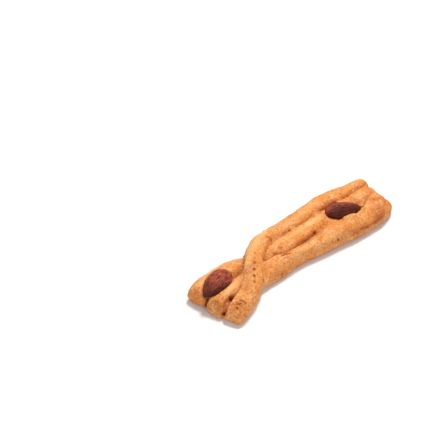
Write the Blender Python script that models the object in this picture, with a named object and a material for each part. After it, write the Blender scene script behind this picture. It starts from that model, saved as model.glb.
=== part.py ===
"""A braided pepper and almond biscuit.

Three ropes of dough lie side by side. The back rope crosses over the other two and the front rope crosses
under them, once, near one end. All three are pressed together at both ends, and an almond is pushed into the
dough there. The dough is baked into one solid with a flat underside.

The frame: +X along the biscuit to the end that is further from the crossing, +Z up, and the origin at the
middle of the underside. Sizes in the tables are millimetres, and the mesh is in metres.
"""

import math
import random

import bmesh
import bpy
import numpy as np
from mathutils import Matrix, Vector, noise
from mathutils.bvhtree import BVHTree

MM = 0.001

# ---- driving dimensions -------------------------------------------------------------------------------

ROPE_ROUND = 5.2  # how far a rope's widest line lies under its crown
WEB_ROUND = 2.6  # the same for the flatter dough between the ropes
SINK = 0.9  # how far a rope would reach below the tray, which flattens it
CROWN_POWER = 2.0  # section of the upper half: 2 is an ellipse, more is squarer
BELLY_POWER = 2.7  # section of the lower half, slumped fuller on the tray
RING_POINTS = 26
RING_SPACING = 2.1

UNEVEN = 0.30  # how far the rolled ropes wander from a true section
UNEVEN_SCALE = 9.0  # the length of one such swelling

# Each rope's route, from the far end to the near end: x, y, half width, crown height.
ROPE_OVER = (
    (64.6, 6.6, 3.8, 7.6),
    (57.0, 6.6, 4.0, 8.5),
    (50.0, 7.1, 4.4, 9.2),
    (43.5, 8.5, 4.9, 9.7),
    (34.0, 9.9, 5.3, 10.0),
    (18.0, 9.9, 5.4, 10.1),
    (4.0, 10.4, 5.2, 10.2),
    (-7.0, 10.5, 5.0, 11.2),
    (-15.2, 9.2, 5.1, 12.8),
    (-21.8, 5.8, 5.2, 13.6),
    (-28.3, 1.2, 5.3, 13.4),
    (-34.2, -3.4, 5.3, 12.2),
    (-41.0, -7.3, 5.3, 10.8),
    (-48.0, -9.9, 5.1, 10.0),
    (-53.5, -11.3, 4.9, 9.4),
    (-57.6, -11.8, 4.6, 8.6),
)
ROPE_UNDER = (
    (59.2, -9.2, 5.2, 7.2),
    (53.0, -10.9, 6.8, 8.9),
    (45.0, -11.8, 7.3, 9.7),
    (34.0, -11.1, 6.8, 10.1),
    (14.0, -8.8, 5.1, 10.2),
    (0.0, -6.5, 4.3, 10.0),
    (-10.0, -5.0, 4.4, 9.6),
    (-19.0, -3.8, 5.8, 8.8),
    (-26.0, 0.0, 8.8, 8.2),
    (-32.0, 6.6, 7.8, 8.8),
    (-40.0, 9.1, 6.2, 9.5),
    (-48.0, 9.7, 5.9, 9.8),
    (-54.0, 9.4, 5.9, 9.5),
    (-60.3, 8.9, 5.5, 8.4),
)
ROPE_MIDDLE = (
    (62.2, -1.6, 4.6, 7.2),
    (52.0, -0.8, 4.6, 8.7),
    (44.0, -1.2, 5.2, 9.3),
    (34.0, 0.2, 5.3, 9.8),
    (25.0, 1.0, 5.2, 10.0),
    (10.0, 0.9, 5.1, 10.2),
    (-2.0, 1.4, 4.9, 10.0),
    (-12.0, 1.7, 4.8, 9.4),
    (-24.0, 1.0, 4.8, 8.6),
    (-36.0, -0.4, 5.0, 9.0),
    (-46.0, -1.8, 4.9, 9.4),
    (-53.5, -2.1, 5.2, 9.3),
    (-60.1, -1.8, 5.3, 8.3),
)
# The thinner dough between the ropes, squeezed flat where they touch: the same four columns.
WEB = (
    (61.2, -1.2, 9.0, 6.2),
    (52.0, -1.6, 12.2, 7.2),
    (38.0, -0.8, 12.4, 7.0),
    (20.0, 0.4, 11.0, 6.4),
    (0.0, 2.2, 9.4, 6.4),
    (-15.0, 1.6, 7.4, 6.8),
    (-27.0, -0.4, 8.2, 7.4),
    (-38.0, 0.0, 8.4, 7.2),
    (-50.0, -0.6, 11.2, 6.8),
    (-59.3, -1.0, 11.1, 6.0),
)
# Dough that fills the groove where the over rope comes down beside the middle one.
FILL = (
    (-33.0, -0.6, 4.0, 9.4),
    (-39.0, -3.2, 4.2, 9.7),
    (-45.0, -5.8, 3.6, 9.3),
    (-49.0, -7.0, 2.6, 8.4),
)
# The ends: the length over which a rope rounds off, and the share of its height where it is closed.
FAR_ROUND = 4.4
FAR_LEFT = 0.20
NEAR_ROUND = 2.6
NEAR_LEFT = 0.45
END_PINCH = 0.30  # share of its width that an end loses as its height goes

# Each almond: its centre, its length, width and thickness, how fast it tapers to its tip, its turn about Z,
# the dip of its tip and its roll.
ALMOND_NEAR = dict(
    centre=(-50.0, 5.0, 8.8), size=(20.6, 12.1, 7.8), taper=0.82, turn=192.0, dip=0.0, roll=7.0
)
ALMOND_FAR = dict(
    centre=(32.8, -4.1, 9.5), size=(21.8, 10.3, 7.8), taper=0.70, turn=-21.0, dip=11.0, roll=4.0
)
BLUNTNESS = 0.50  # of the other end, on the same scale as the taper
ALMOND_RINGS = 16
ALMOND_SIDES = 20
SOCKET_GAP = 0.3  # the dough stays this far from the almond
RIM_NEAR = 2.0  # dough pushed up round the near almond
RIM_FAR = 1.5  # and round the far one
RIM_DROP = 2.9  # the mound's middle lies this far under the almond's
RIM_THICKNESS = 7.0  # of the mound, with its lower half inside the ropes

# Chopped almond and coarse pepper that stand out of the crust.
BITS = 30
BIT_TRIES = 120  # draws made to place them
BIT_SIZE = (0.6, 1.1)  # radius
BIT_SHAPE = ((0.9, 1.25), (0.7, 1.0), (0.40, 0.55))  # stretch along each axis: longer than wide, and flat
BIT_ROUGH = (0.92, 1.06)
BIT_LEAN = 0.2
BIT_SUNK = 0.12  # share of its radius that its middle lies under the crust
BIT_APART = 3.0
BIT_CLEAR = 1.0  # from the circle round an almond
BIT_SEED = 5
BITS_REACH = ((-60, 60), (-16, 15))  # where the draw falls: x and y
BIT_LOWEST = 3.0  # none lower on the biscuit's side than this
BIT_STEEPEST = 0.3  # and none where the crust's normal rises less than this
ABOVE = 40.0  # a height clear of the dough, from which the crust is found
# The bits that show most: x, y, radius.
SHOWN_BITS = (
    (-58.6, -4.4, 1.6),
    (-59.6, -1.6, 1.3),
    (4.5, 6.6, 1.0),
    (-11.5, -3.4, 1.1),
    (-30.0, -4.5, 0.9),
    (-52.5, -11.0, 1.0),
    (14.0, -15.0, 1.1),
    (24.0, -12.0, 1.0),
    (44.0, -14.0, 1.1),
    (-14.0, 6.0, 0.9),
)

CRUST_COLOUR = (0.80, 0.42, 0.14, 1.0)
ALMOND_COLOUR = (0.16, 0.045, 0.022, 1.0)


# ---- helpers ------------------------------------------------------------------------------------------


def clear_scene():
    for obj in list(bpy.data.objects):
        bpy.data.objects.remove(obj)


def material(name, colour, roughness):
    made = bpy.data.materials.new(name)
    made.use_nodes = True
    shader = made.node_tree.nodes["Principled BSDF"]
    shader.inputs["Base Color"].default_value = colour
    shader.inputs["Roughness"].default_value = roughness
    shader.inputs["Metallic"].default_value = 0.0
    return made


def link(name, mesh_source, paint):
    """A bmesh in millimetres becomes a named object in metres."""
    bmesh.ops.recalc_face_normals(mesh_source, faces=mesh_source.faces)
    bmesh.ops.scale(mesh_source, vec=(MM, MM, MM), verts=mesh_source.verts)
    mesh = bpy.data.meshes.new(name)
    mesh_source.to_mesh(mesh)
    mesh_source.free()
    mesh.materials.append(paint)
    obj = bpy.data.objects.new(name, mesh)
    bpy.context.scene.collection.objects.link(obj)
    return obj


def smooth_route(stations, spacing):
    """Points every spacing along the smooth curve through the stations, and how far along each one is."""
    knots = np.array(stations, float)
    reach = np.concatenate([[0], np.cumsum(np.linalg.norm(np.diff(knots[:, :2], axis=0), axis=1))])
    slope = np.gradient(knots, reach, axis=0)
    wanted = np.linspace(0, reach[-1], int(round(reach[-1] / spacing)) + 1)
    left = np.clip(np.searchsorted(reach, wanted, side="right") - 1, 0, len(reach) - 2)
    span = (reach[left + 1] - reach[left])[:, None]
    t = (wanted - reach[left])[:, None] / span
    points = (
        (2 * t**3 - 3 * t**2 + 1) * knots[left]
        + (t**3 - 2 * t**2 + t) * span * slope[left]
        + (3 * t**2 - 2 * t**3) * knots[left + 1]
        + (t**3 - t**2) * span * slope[left + 1]
    )
    return points, wanted


def end_fullness(travelled, whole):
    """1 along the rope, falling at each end on a quarter of an ellipse: pressed thin or cut blunt."""
    from_far = min(travelled / FAR_ROUND, 1.0)
    from_near = min((whole - travelled) / NEAR_ROUND, 1.0)
    far = FAR_LEFT + (1 - FAR_LEFT) * math.sqrt(1 - (1 - from_far) ** 2)
    near = NEAR_LEFT + (1 - NEAR_LEFT) * math.sqrt(1 - (1 - from_near) ** 2)
    return far * near


def rope(name, stations, paint, round_up=ROPE_ROUND, salt=0.0):
    """One rope of dough: a section that is round above and slumped below, lofted along its route."""
    points, travelled = smooth_route(stations, RING_SPACING)
    heading = np.gradient(points[:, :2], axis=0)
    heading /= np.linalg.norm(heading, axis=1)[:, None]
    built = bmesh.new()
    rings = []
    for (x, y, half_width, crown), (along_x, along_y), reach in zip(points, heading, travelled):
        fullness = end_fullness(reach, travelled[-1])
        widest = crown - round_up
        half_width *= 1 - END_PINCH * (1 - fullness)
        ring = []
        for step in range(RING_POINTS):
            angle = 2 * math.pi * step / RING_POINTS
            power = 2 / (CROWN_POWER if math.sin(angle) > 0 else BELLY_POWER)
            out = math.copysign(abs(math.cos(angle)) ** power, math.cos(angle)) * half_width
            up = abs(math.sin(angle)) ** power * fullness
            rise = up * round_up if math.sin(angle) > 0 else -up * (widest + SINK)
            spot = Vector((x - along_y * out, y + along_x * out, widest + rise))
            swell = noise.noise(spot / UNEVEN_SCALE + Vector((salt, 0, 0))) * UNEVEN
            spot += Vector((-along_y * math.cos(angle), along_x * math.cos(angle), math.sin(angle))) * swell
            ring.append(built.verts.new(spot))
        rings.append(ring)
    for first, second in zip(rings, rings[1:]):
        for k in range(RING_POINTS):
            after = (k + 1) % RING_POINTS
            built.faces.new((first[k], first[after], second[after], second[k]))
    built.faces.new(rings[0])
    built.faces.new(rings[-1])
    bmesh.ops.triangulate(built, faces=[f for f in built.faces if len(f.verts) > 4])
    return link(name, built, paint)


def almond_solid(name, paint, centre, size, taper, turn, dip, roll):
    """An almond with its blunt end at -X and its tip at +X, then turned and moved into place."""
    length, width, thickness = size
    fattest = BLUNTNESS / (BLUNTNESS + taper)
    peak = fattest**BLUNTNESS * (1 - fattest) ** taper
    built = bmesh.new()
    rings = []
    for step in range(1, ALMOND_RINGS):
        share = 0.5 - 0.5 * math.cos(math.pi * step / ALMOND_RINGS)
        radius = share**BLUNTNESS * (1 - share) ** taper / peak / 2
        ring = []
        for side in range(ALMOND_SIDES):
            angle = 2 * math.pi * side / ALMOND_SIDES
            across = radius * width * math.cos(angle)
            up = radius * thickness * math.sin(angle)
            ring.append(built.verts.new(((share - 0.5) * length, across, up)))
        rings.append(ring)
    blunt = built.verts.new((-length / 2, 0, 0))
    tip = built.verts.new((length / 2, 0, 0))
    for k in range(ALMOND_SIDES):
        after = (k + 1) % ALMOND_SIDES
        built.faces.new((blunt, rings[0][after], rings[0][k]))
        built.faces.new((tip, rings[-1][k], rings[-1][after]))
        for first, second in zip(rings, rings[1:]):
            built.faces.new((first[k], first[after], second[after], second[k]))
    place = Matrix.Translation(Vector(centre)) @ Matrix.Rotation(math.radians(turn), 4, "Z")
    tilt = Matrix.Rotation(math.radians(dip), 4, "Y") @ Matrix.Rotation(math.radians(roll), 4, "X")
    bmesh.ops.transform(built, matrix=place @ tilt, verts=built.verts)
    return link(name, built, paint)


def socket(name, paint, place):
    """The room an almond takes in the dough: its own shape, larger all round by the gap."""
    grown = tuple(side + 2 * SOCKET_GAP for side in place["size"])
    return almond_solid(name, paint, **{**place, "size": grown})


def pushed_up_rim(name, paint, place, rim):
    """The dough that an almond pushes up round itself: a low mound, wider than the almond but for its tip."""
    x, y, z = place["centre"]
    length, width, _ = place["size"]
    turn = math.radians(place["turn"])
    back = rim / 2
    centre = (x - math.cos(turn) * back, y - math.sin(turn) * back, z - RIM_DROP)
    size = (length + rim, width + 2 * rim, RIM_THICKNESS)
    return almond_solid(name, paint, **{**place, "centre": centre, "size": size})


def combine(base, others, operation):
    """One Boolean on a collection, applied, with the collection's objects then removed."""
    group = bpy.data.collections.new(base.name + "_" + operation.lower())
    bpy.context.scene.collection.children.link(group)
    for obj in others:
        bpy.context.scene.collection.objects.unlink(obj)
        group.objects.link(obj)
    cut = base.modifiers.new(operation.title(), "BOOLEAN")
    cut.operation = operation
    cut.operand_type = "COLLECTION"
    cut.collection = group
    cut.solver = "EXACT"
    graph = bpy.context.evaluated_depsgraph_get()
    finished = bpy.data.meshes.new_from_object(base.evaluated_get(graph))
    base.modifiers.clear()
    base.data = finished
    for obj in list(group.objects):
        bpy.data.objects.remove(obj)
    bpy.data.collections.remove(group)


def flatten_underside(obj):
    """The tray: everything under Z = 0 is cut away and the cut is closed."""
    built = bmesh.new()
    built.from_mesh(obj.data)
    everything = built.verts[:] + built.edges[:] + built.faces[:]
    cut = bmesh.ops.bisect_plane(
        built, geom=everything, dist=1e-7, plane_co=(0, 0, 0), plane_no=(0, 0, 1), clear_inner=True
    )
    rim = [e for e in cut["geom_cut"] if isinstance(e, bmesh.types.BMEdge)]
    bmesh.ops.holes_fill(built, edges=rim, sides=0)
    bmesh.ops.triangulate(built, faces=[f for f in built.faces if len(f.verts) > 4])
    bmesh.ops.recalc_face_normals(built, faces=built.faces)
    built.to_mesh(obj.data)
    built.free()


def bit(name, spot, radius, draw, paint):
    """A chip of almond or a coarse grain of pepper: a knocked-about lump, half sunk in the crust."""
    built = bmesh.new()
    bmesh.ops.create_icosphere(built, subdivisions=1, radius=radius)
    stretch = [draw.uniform(*bounds) for bounds in BIT_SHAPE]
    for vert in built.verts:
        vert.co = Vector(a * b for a, b in zip(vert.co, stretch)) * draw.uniform(*BIT_ROUGH)
    turn = Matrix.Rotation(draw.uniform(0, math.tau), 4, "Z")
    lean = Matrix.Rotation(draw.uniform(-BIT_LEAN, BIT_LEAN), 4, "X")
    bmesh.ops.transform(built, matrix=Matrix.Translation(spot) @ turn @ lean, verts=built.verts)
    return link(name, built, paint)


def bits_on(crust, keep_clear, paint):
    """The chips that show most, and more spread over the top by a seeded draw, clear of the almonds."""
    draw = random.Random(BIT_SEED)
    corners = [v.co / MM for v in crust.data.vertices]
    surface = BVHTree.FromPolygons(corners, [face.vertices for face in crust.data.polygons])
    spots = list(SHOWN_BITS)
    for _ in range(BIT_TRIES):
        spots.append((draw.uniform(*BITS_REACH[0]), draw.uniform(*BITS_REACH[1]), draw.uniform(*BIT_SIZE)))
    placed = []
    made = []
    for x, y, radius in spots:
        hit, normal, _, _ = surface.ray_cast(Vector((x, y, ABOVE)), Vector((0, 0, -1)))
        if hit is None or hit.z < BIT_LOWEST or normal.z < BIT_STEEPEST or len(made) >= BITS:
            continue
        if any((Vector((x, y)) - Vector(centre[:2])).length < reach + radius for centre, reach in keep_clear):
            continue
        if any((hit - other).length < BIT_APART + radius for other in placed):
            continue
        placed.append(hit)
        made.append(bit(f"bit_{len(made)}", hit - normal * radius * BIT_SUNK, radius, draw, paint))
    return made


def main():
    clear_scene()
    crust = material("baked_crust", CRUST_COLOUR, 0.75)
    skin = material("almond_skin", ALMOND_COLOUR, 0.5)

    braid = rope("braid", ROPE_MIDDLE, crust, salt=3.1)
    others = [
        rope("over", ROPE_OVER, crust, salt=0.0),
        rope("under", ROPE_UNDER, crust, salt=7.7),
        rope("web", WEB, crust, round_up=WEB_ROUND, salt=5.2),
        rope("fill", FILL, crust, round_up=WEB_ROUND, salt=9.4),
        pushed_up_rim("rim_near", crust, ALMOND_NEAR, RIM_NEAR),
        pushed_up_rim("rim_far", crust, ALMOND_FAR, RIM_FAR),
    ]
    combine(braid, others, "UNION")
    almonds_at = [(place["centre"], place["size"][0] / 2 + BIT_CLEAR) for place in (ALMOND_NEAR, ALMOND_FAR)]
    combine(braid, bits_on(braid, almonds_at, crust), "UNION")
    flatten_underside(braid)

    sockets = [socket("socket_near", crust, ALMOND_NEAR), socket("socket_far", crust, ALMOND_FAR)]
    combine(braid, sockets, "DIFFERENCE")
    almonds = [
        almond_solid("almond_near", skin, **ALMOND_NEAR),
        almond_solid("almond_far", skin, **ALMOND_FAR),
    ]

    corners = np.array([v.co for obj in [braid, *almonds] for v in obj.data.vertices])
    middle = (corners.min(axis=0) + corners.max(axis=0)) / 2
    for obj in [braid, *almonds]:
        obj.data.transform(Matrix.Translation((-middle[0], -middle[1], 0)))
        obj.data.shade_smooth()


main()
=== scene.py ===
# %% [markdown]
# # A braided pepper almond biscuit
#
# Three ropes of dough are pressed side by side, crossed once, topped with two whole almonds and baked
# on a tray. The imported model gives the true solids. This lesson dresses them: the dough gets its skin,
# its creases, pits and crumbs, the almonds get their furrows, and pepper and chopped almond go on top.

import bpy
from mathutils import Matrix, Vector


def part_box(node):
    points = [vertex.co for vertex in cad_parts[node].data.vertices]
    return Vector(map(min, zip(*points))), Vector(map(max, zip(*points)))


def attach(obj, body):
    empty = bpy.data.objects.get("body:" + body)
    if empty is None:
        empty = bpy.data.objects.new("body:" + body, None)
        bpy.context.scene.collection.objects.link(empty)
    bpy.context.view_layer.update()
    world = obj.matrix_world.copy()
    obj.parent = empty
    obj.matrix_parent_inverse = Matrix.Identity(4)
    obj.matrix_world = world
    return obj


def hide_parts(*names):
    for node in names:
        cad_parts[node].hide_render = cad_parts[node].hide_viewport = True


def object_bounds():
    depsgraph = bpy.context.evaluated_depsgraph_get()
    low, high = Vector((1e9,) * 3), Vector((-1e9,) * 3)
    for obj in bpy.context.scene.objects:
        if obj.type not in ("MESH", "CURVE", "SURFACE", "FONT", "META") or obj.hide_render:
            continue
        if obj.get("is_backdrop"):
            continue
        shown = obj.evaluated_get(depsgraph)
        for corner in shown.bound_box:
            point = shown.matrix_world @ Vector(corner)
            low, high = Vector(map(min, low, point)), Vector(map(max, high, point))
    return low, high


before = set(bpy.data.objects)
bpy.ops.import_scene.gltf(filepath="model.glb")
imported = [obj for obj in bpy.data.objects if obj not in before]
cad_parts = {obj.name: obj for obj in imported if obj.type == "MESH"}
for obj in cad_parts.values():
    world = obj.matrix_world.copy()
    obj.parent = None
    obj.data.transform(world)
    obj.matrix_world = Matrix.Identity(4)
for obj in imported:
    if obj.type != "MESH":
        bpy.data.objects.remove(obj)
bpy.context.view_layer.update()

# %% Modules and units
import math

import bmesh
import bpy
import numpy as np
from mathutils import Matrix, Vector
from mathutils.bvhtree import BVHTree

MM = 0.001
BODY = "root"

# %% [markdown]
# ## The camera
#
# The picture looks down on the biscuit from its near left corner, from far enough away that the two
# ends are drawn at almost the same scale. A long lens gives that. The camera comes first because the
# small marks are placed by where the picture shows them: a line of sight through a point of the
# picture is followed until it meets the dough, so each mark lies on what carries it.

# %% Camera
PICTURE = 430  # pixels along each side of the picture
CAMERA_TURN = math.radians(-46.5)
CAMERA_RISE = math.radians(39.0)
CAMERA_LENS = 100.0  # mm
CAMERA_SENSOR = 36.0  # mm
CAMERA_AWAY = 605.6 * MM
CAMERA_AIM = Vector((-7.438, 49.475, 0.0)) * MM  # the point of the tray in the middle of the picture

forward = Vector((-math.sin(CAMERA_TURN), math.cos(CAMERA_TURN), 0))
right = Vector((math.cos(CAMERA_TURN), math.sin(CAMERA_TURN), 0))
backward = Vector((0, 0, math.sin(CAMERA_RISE))) - forward * math.cos(CAMERA_RISE)
upward = backward.cross(right)
eye = CAMERA_AIM + backward * CAMERA_AWAY

camera = bpy.data.objects.new("camera", bpy.data.cameras.new("camera"))
camera.data.lens, camera.data.sensor_width = CAMERA_LENS, CAMERA_SENSOR
camera.data.clip_start, camera.data.clip_end = 0.05, 20
camera.location = eye
camera.rotation_mode = "QUATERNION"
camera.rotation_quaternion = (-backward).to_track_quat("-Z", "Y")
bpy.context.scene.collection.objects.link(camera)
bpy.context.scene.camera = camera


def line_of_sight(across, down):
    """The direction in which the camera sees the picture's point (across, down), in pixels."""
    reach = PICTURE * CAMERA_LENS / CAMERA_SENSOR
    return (right * (across - PICTURE / 2) + upward * (PICTURE / 2 - down) - backward * reach).normalized()


print("camera at", [round(value, 4) for value in eye])

# %% [markdown]
# ## Small tools
#
# Node trees are easier to read when one call adds a node, sets its options and joins its inputs.
# The same call serves shader trees and geometry trees. The mesh tools hand a mesh's points to NumPy
# as one array and back, which makes smoothing a hundred thousand points a matter of seconds.

# %% Tools for node trees
def join(tree, node, inputs):
    """Sets a node's inputs, which are named or numbered, each to a value or to a socket."""
    for name, value in inputs.items():
        if isinstance(value, bpy.types.NodeSocket):
            tree.links.new(value, node.inputs[name])
        else:
            node.inputs[name].default_value = value


def add(tree, kind, inputs=None, **options):
    """A new node with its options set and its inputs joined."""
    node = tree.nodes.new(kind)
    for option, value in options.items():
        setattr(node, option, value)
    join(tree, node, inputs or {})
    return node


def maths(tree, operation, *values):
    """The result of one Math node."""
    return add(tree, "ShaderNodeMath", dict(enumerate(values)), operation=operation).outputs[0]


def minus(tree, value, less):
    """One value less another."""
    return maths(tree, "SUBTRACT", value, less)


def times(tree, product, *values):
    """The product of two values or more."""
    for value in values:
        product = maths(tree, "MULTIPLY", product, value)
    return product


def vector_maths(tree, operation, *values):
    """The vector result of one Vector Math node."""
    return add(tree, "ShaderNodeVectorMath", dict(enumerate(values)), operation=operation).outputs[0]


def scaled(tree, arrow, length):
    """A vector times a value."""
    return add(tree, "ShaderNodeVectorMath", {0: arrow, "Scale": length}, operation="SCALE").outputs[0]


def vector(tree, x, y, z):
    """A vector of three values."""
    return add(tree, "ShaderNodeCombineXYZ", {"X": x, "Y": y, "Z": z}).outputs[0]


def parts(tree, arrow):
    """The three values of a vector, named X, Y and Z."""
    return add(tree, "ShaderNodeSeparateXYZ", {0: arrow}).outputs


def texture(tree, place, scale, detail, roughness=0.5, output=0):
    """Soft noise: its value, or its colour as output 1."""
    inputs = {"Vector": place, "Scale": scale, "Detail": detail, "Roughness": roughness}
    return add(tree, "ShaderNodeTexNoise", inputs).outputs[output]


def noise(tree, place, size, detail=2.0, roughness=0.5):
    """Soft noise from 0 to 1 whose blobs are about `size` metres long; size is a number or a socket."""
    return texture(tree, place, maths(tree, "DIVIDE", 1.0, size), detail, roughness)


def remap(tree, value, low, high, to_low=0.0, to_high=1.0, kind="SMOOTHSTEP"):
    """`value` between low and high drawn out to the new range, and held there outside it."""
    inputs = {0: value, 1: low, 2: high, 3: to_low, 4: to_high}
    return add(tree, "ShaderNodeMapRange", inputs, interpolation_type=kind).outputs[0]


# %% Tools for geometry trees
def new_geometry_tree(name, sizes):
    """A geometry tree with a geometry in and out, and an input for each named size with its first value."""
    tree = bpy.data.node_groups.new(name, "GeometryNodeTree")
    for way in ("INPUT", "OUTPUT"):
        tree.interface.new_socket("Geometry", in_out=way, socket_type="NodeSocketGeometry")
    for size, value in sizes.items():
        kind = "NodeSocketInt" if isinstance(value, int) else "NodeSocketFloat"
        tree.interface.new_socket(size, in_out="INPUT", socket_type=kind).default_value = value
    return tree, add(tree, "NodeGroupInput").outputs


def given(tree, kind):
    """What a node without inputs says of each point, such as its position."""
    return add(tree, "GeometryNodeInput" + kind).outputs[0]


def named(tree, name, kind="FLOAT"):
    """An attribute of the geometry."""
    return add(tree, "GeometryNodeInputNamedAttribute", {"Name": name}, data_type=kind).outputs[0]


def keep(tree, geometry, name, value, kind="FLOAT", domain="POINT"):
    """The geometry with a value kept as its attribute."""
    inputs = {"Geometry": geometry, "Name": name, "Value": value}
    return add(tree, "GeometryNodeStoreNamedAttribute", inputs, data_type=kind, domain=domain).outputs[0]


def moved(tree, geometry, **way):
    """The geometry with its points at a new Position, or shifted by an Offset."""
    return add(tree, "GeometryNodeSetPosition", {"Geometry": geometry, **way}).outputs[0]


def drawn(tree, low, high, seed):
    """A value drawn for each point."""
    return add(tree, "FunctionNodeRandomValue", {2: low, 3: high, "Seed": seed}, data_type="FLOAT").outputs[1]


def close_tree(tree, geometry, material):
    """Ends a tree as the export needs it: shaded smooth, instances made real, and one material set."""
    smooth = add(tree, "GeometryNodeSetShadeSmooth", {"Geometry": geometry}).outputs[0]
    real = add(tree, "GeometryNodeRealizeInstances", {"Geometry": smooth}).outputs[0]
    painted = add(tree, "GeometryNodeSetMaterial", {"Geometry": real, "Material": material}).outputs[0]
    add(tree, "NodeGroupOutput", {"Geometry": painted})
    return tree


def grow(piece, tree, **sizes):
    """Runs a geometry tree on a piece, keeps the result as its plain mesh, and takes the modifier off."""
    modifier = piece.modifiers.new(tree.name, "NODES")
    modifier.node_group = tree
    for item in tree.interface.items_tree:
        if item.in_out == "INPUT" and item.socket_type != "NodeSocketGeometry":
            value = sizes.get(item.name.lower().replace(" ", "_"), item.default_value)
            modifier[item.identifier] = value
    settle(piece)


def settle(piece):
    """Makes the result of a piece's modifiers its own mesh and removes them."""
    evaluated = piece.evaluated_get(bpy.context.evaluated_depsgraph_get())
    mesh = bpy.data.meshes.new_from_object(evaluated)
    piece.modifiers.clear()
    piece.data = mesh

# %% Tools for meshes
CORNERS_MEET = 0.001 * MM


def new_piece(name, mesh=None):
    """A mesh object at the origin, linked to the scene."""
    piece = bpy.data.objects.new(name, mesh or bpy.data.meshes.new(name))
    bpy.context.scene.collection.objects.link(piece)
    return piece


def merged_copy(node, name):
    """A copy of a CAD node's mesh with its loose triangles joined at their corners."""
    piece = new_piece(name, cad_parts[node].data.copy())
    built = bmesh.new()
    built.from_mesh(piece.data)
    bmesh.ops.remove_doubles(built, verts=built.verts, dist=CORNERS_MEET)
    built.to_mesh(piece.data)
    built.free()
    piece.data.materials.clear()
    return piece


def read(mesh, name):
    """A vector of every point of a mesh as an array: its place ("co") or its normal ("normal")."""
    values = np.empty(len(mesh.vertices) * 3, np.float32)
    mesh.vertices.foreach_get(name, values)
    return values.reshape(-1, 3).astype(float)


def move_to(mesh, places):
    """Moves the points of a mesh to the places in an array."""
    mesh.vertices.foreach_set("co", places.astype(np.float32).ravel())
    mesh.update()


def lay_on_tray(mesh, places):
    """Moves the points of a mesh, and keeps those that would sink into the tray on top of it."""
    places[:, 2] = np.maximum(places[:, 2], 0)
    move_to(mesh, places)


def edges_of(mesh):
    """The two ends of every edge, as two arrays of point numbers."""
    ends = np.empty(len(mesh.edges) * 2, np.int32)
    mesh.edges.foreach_get("vertices", ends)
    return ends[0::2], ends[1::2]


def averaged(values, edges, weights=None):
    """For each point, the weighted mean of its neighbours' values."""
    first, second = edges
    weights = np.ones(len(first)) if weights is None else weights
    count = len(values)
    total = np.bincount(first, weights, count) + np.bincount(second, weights, count)
    sums = [
        np.bincount(first, weights * column[second], count)
        + np.bincount(second, weights * column[first], count)
        for column in values.reshape(count, -1).T
    ]
    mean = np.stack(sums, 1) / np.maximum(total, 1e-9)[:, None]
    return np.where(total[:, None] > 1e-6, mean, values.reshape(count, -1)).reshape(values.shape)


def smoothed(places, edges, rounds, share):
    """Places drawn towards their neighbours round after round, each by its own share."""
    for _ in range(rounds):
        places = places + (averaged(places, edges) - places) * share[:, None] / 2
    return places


def hollowness(mesh, rounds, full):
    """How far the much smoothed surface lies above each point, where `full` counts as 1."""
    places, normals, edges = read(mesh, "co"), read(mesh, "normal"), edges_of(mesh)
    smooth = places.copy()
    for _ in range(rounds):
        smooth = (smooth + averaged(smooth, edges)) / 2
    return np.einsum("ij,ij->i", smooth - places, normals) / full


def store(mesh, name, values):
    """Keeps one number for each point of a mesh as a named attribute that materials can read."""
    attribute = mesh.attributes.get(name) or mesh.attributes.new(name, "FLOAT", "POINT")
    attribute.data.foreach_set("value", values.astype(np.float32))


def tree_of(piece):
    """A search tree of a piece's faces, for nearest points and lines of sight."""
    faces = [face.vertices for face in piece.data.polygons]
    return BVHTree.FromPolygons([point.co for point in piece.data.vertices], faces)

# %% [markdown]
# ## The dough body
#
# On the real biscuit the ropes are one body of dough, soft and round, with tight creases where they
# press on each other. The CAD solid has that form in a few thousand flat facets. Subdividing it would
# keep the uneven triangles that the Booleans left, so the copy is remeshed into even quads a third of
# a millimetre wide. Plain smoothing would also fill the creases, so each point is moved only towards
# neighbours that face the same way: facets melt together and the creases stay.

# %% Dough body: even mesh
VOXEL = 0.348 * MM  # fine enough for the creases, coarse enough for fewer than 200,000 triangles
SMOOTH_ROUNDS = 24
LAST_ROUNDS = 2  # over the creases too, to take the voxels' steps out of them
FACES_ALIKE = (math.cos(math.radians(17)), math.cos(math.radians(9)))  # of neighbours: no pull to full pull


def remesh(piece, voxel):
    """Turns a closed mesh into even quads of the voxel's size."""
    modifier = piece.modifiers.new("remesh", "REMESH")
    modifier.mode, modifier.voxel_size = "VOXEL", voxel
    settle(piece)


def melt_facets(mesh, rounds):
    """Smooths a mesh inside its faces and keeps its creases."""
    edges, places, normals = edges_of(mesh), read(mesh, "co"), read(mesh, "normal")
    alike = np.einsum("ij,ij->i", normals[edges[0]], normals[edges[1]])
    pull = np.clip((alike - FACES_ALIKE[0]) / (FACES_ALIKE[1] - FACES_ALIKE[0]), 0, 1)
    for _ in range(rounds):
        places = (places + averaged(places, edges, pull)) / 2
    for _ in range(LAST_ROUNDS):
        places = (places + averaged(places, edges)) / 2
    move_to(mesh, places)


dough = merged_copy("braid", "dough")
remesh(dough, VOXEL)
melt_facets(dough.data, SMOOTH_ROUNDS)
print("dough:", len(dough.data.vertices), "points")

# %% [markdown]
# ## The almonds
#
# A whole almond in its skin is a flattened drop: one blunt end, one pointed. Its shape follows a
# rule, so Geometry Nodes make it: a sphere whose height above its equator says how far along the
# almond a point lies. The skin's furrows run from end to end and close up at both. Noise read on the
# unit circle round the almond does the same by itself, because the circle stays one size while the
# almond narrows.

# %% Materials are named here so that trees can set them; their nodes follow further down
crust = bpy.data.materials.new("crust")
almond_skin = bpy.data.materials.new("almond_skin")
pepper_skin = bpy.data.materials.new("pepper")
chip_flesh = bpy.data.materials.new("chopped_almond")

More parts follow.
